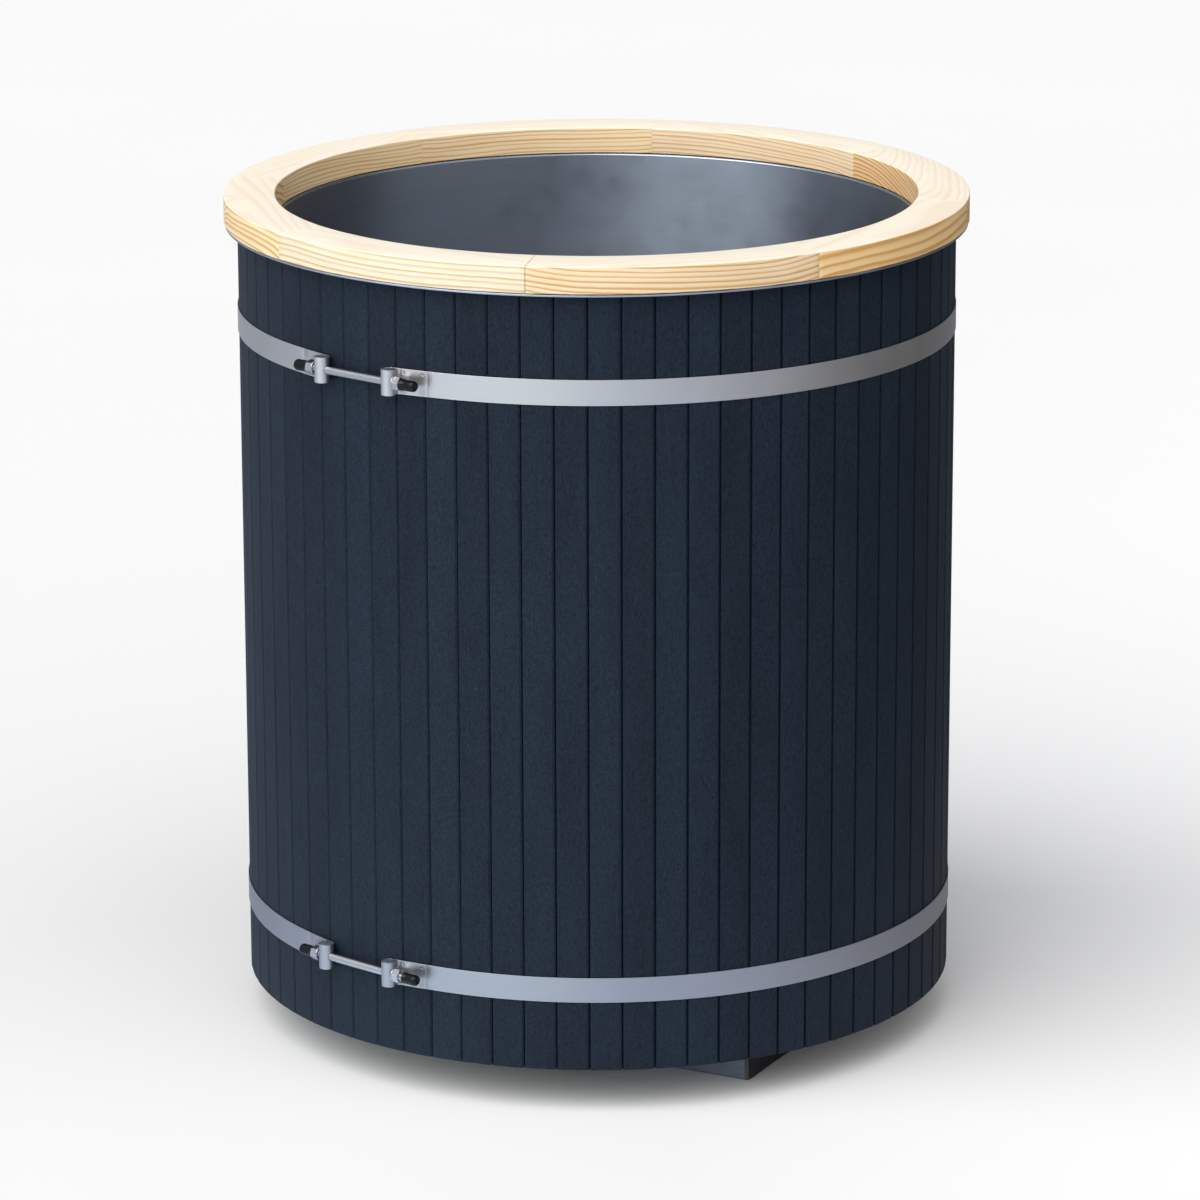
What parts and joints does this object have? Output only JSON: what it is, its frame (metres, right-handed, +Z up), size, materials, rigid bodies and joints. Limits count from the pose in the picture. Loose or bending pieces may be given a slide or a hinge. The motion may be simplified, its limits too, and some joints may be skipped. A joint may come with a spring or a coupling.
{
  "type": "cold plunge tub",
  "caption": "Round upright soaking tub with a steel liner, ribbed board cladding held by two tension straps, a flat timber rim, timber runners and a floor drain.",
  "frame": {"origin": "on the ground, on the tub's vertical axis", "axes": "+Z up the tub's axis; -Y towards the viewer of the front; +X to the viewer's right; the strap clamps face front left"},
  "size_m": [1.037, 1.037, 1.1793],
  "materials": {
    "pine": "satin",
    "beech": "matte",
    "panel_wood": "matte",
    "runner_wood": "matte",
    "cladding": "satin",
    "liner_steel": "satin",
    "strap_steel": "satin",
    "trunnion_steel": "satin",
    "bright_steel": "polished",
    "fixings": "satin",
    "cap_plastic": "gloss",
    "black_rubber": "matte",
    "foam": "matte",
    "dark_plastic": "matte",
    "grey_plastic": "satin"
  },
  "bodies": {
    "tub": {"rim_segment_1": "pine", "rim_segment_2": "pine", "rim_segment_3": "pine", "rim_segment_4": "pine", "rim_segment_5": "pine", "rim_segment_6": "pine", "rim_segment_7": "pine", "rim_segment_8": "pine", "rim_dowels": "beech", "rim_screws": "fixings", "rim_gasket": "black_rubber", "liner_wall": "liner_steel", "liner_floor": "liner_steel", "wall_insulation": "foam", "floor_insulation": "foam", "cladding_staves": "cladding", "base_panel": "panel_wood", "base_runner_front": "runner_wood", "base_runner_back": "runner_wood", "base_screws": "fixings", "upper_strap": "strap_steel", "lower_strap": "strap_steel", "upper_trunnions": "trunnion_steel", "lower_trunnions": "trunnion_steel", "upper_rod": "bright_steel", "lower_rod": "bright_steel", "drain_waste": "bright_steel", "drain_seal": "black_rubber", "drain_locknut": "dark_plastic", "drain_elbow": "grey_plastic", "drain_pipe": "grey_plastic", "drain_spigot": "grey_plastic", "pipe_clip": "dark_plastic"},
    "upper_left_washer": {"washer_upper_left": "bright_steel"},
    "upper_left_nut": {"nut_upper_left": "bright_steel"},
    "upper_left_cap": {"cap_upper_left": "cap_plastic"},
    "upper_right_washer": {"washer_upper_right": "bright_steel"},
    "upper_right_nut": {"nut_upper_right": "bright_steel"},
    "upper_right_cap": {"cap_upper_right": "cap_plastic"},
    "lower_left_washer": {"washer_lower_left": "bright_steel"},
    "lower_left_nut": {"nut_lower_left": "bright_steel"},
    "lower_left_cap": {"cap_lower_left": "cap_plastic"},
    "lower_right_washer": {"washer_lower_right": "bright_steel"},
    "lower_right_nut": {"nut_lower_right": "bright_steel"},
    "lower_right_cap": {"cap_lower_right": "cap_plastic"},
    "plug": {"drain_plug": "black_rubber", "plug_knob": "bright_steel"}
  },
  "joints": [
    {"name": "upper_left_nut_travel", "type": "slide", "parent": "tub", "child": "upper_left_washer", "axis": [-0.7741, 0.633, 0], "range_m": [0, 0.0035]},
    {"name": "upper_left_nut_turn", "type": "hinge", "parent": "upper_left_washer", "child": "upper_left_nut", "pos_m": [-0.3685, -0.3571, 1.0062], "axis": [-0.7741, 0.633, 0], "range_deg": [0, 720]},
    {"name": "upper_left_cap_pull", "type": "slide", "parent": "upper_left_washer", "child": "upper_left_cap", "axis": [-0.7741, 0.633, 0], "range_m": [0, 0.03]},
    {"name": "upper_right_nut_travel", "type": "slide", "parent": "tub", "child": "upper_right_washer", "axis": [0.7741, -0.633, 0], "range_m": [0, 0.0035]},
    {"name": "upper_right_nut_turn", "type": "hinge", "parent": "upper_right_washer", "child": "upper_right_nut", "pos_m": [-0.27684, -0.43206, 1.0062], "axis": [0.7741, -0.633, 0], "range_deg": [0, 720]},
    {"name": "upper_right_cap_pull", "type": "slide", "parent": "upper_right_washer", "child": "upper_right_cap", "axis": [0.7741, -0.633, 0], "range_m": [0, 0.03]},
    {"name": "lower_left_nut_travel", "type": "slide", "parent": "tub", "child": "lower_left_washer", "axis": [-0.761, 0.6488, 0], "range_m": [0, 0.0035]},
    {"name": "lower_left_nut_turn", "type": "hinge", "parent": "lower_left_washer", "child": "lower_left_nut", "pos_m": [-0.37498, -0.35029, 0.1753], "axis": [-0.761, 0.6488, 0], "range_deg": [0, 720]},
    {"name": "lower_left_cap_pull", "type": "slide", "parent": "lower_left_washer", "child": "lower_left_cap", "axis": [-0.761, 0.6488, 0], "range_m": [0, 0.03]},
    {"name": "lower_right_nut_travel", "type": "slide", "parent": "tub", "child": "lower_right_washer", "axis": [0.761, -0.6488, 0], "range_m": [0, 0.0035]},
    {"name": "lower_right_nut_turn", "type": "hinge", "parent": "lower_right_washer", "child": "lower_right_nut", "pos_m": [-0.28657, -0.42566, 0.1753], "axis": [0.761, -0.6488, 0], "range_deg": [0, 720]},
    {"name": "lower_right_cap_pull", "type": "slide", "parent": "lower_right_washer", "child": "lower_right_cap", "axis": [0.761, -0.6488, 0], "range_m": [0, 0.03]},
    {"name": "plug_lift", "type": "slide", "parent": "tub", "child": "plug", "axis": [0, 0, 1], "range_m": [0, 0.08]}
  ],
  "couplings": [
    {"joint": "upper_left_nut_travel", "follows": "upper_left_nut_turn", "m_per_rad": 0.00027852},
    {"joint": "upper_right_nut_travel", "follows": "upper_right_nut_turn", "m_per_rad": 0.00027852},
    {"joint": "lower_left_nut_travel", "follows": "lower_left_nut_turn", "m_per_rad": 0.00027852},
    {"joint": "lower_right_nut_travel", "follows": "lower_right_nut_turn", "m_per_rad": 0.00027852}
  ]
}
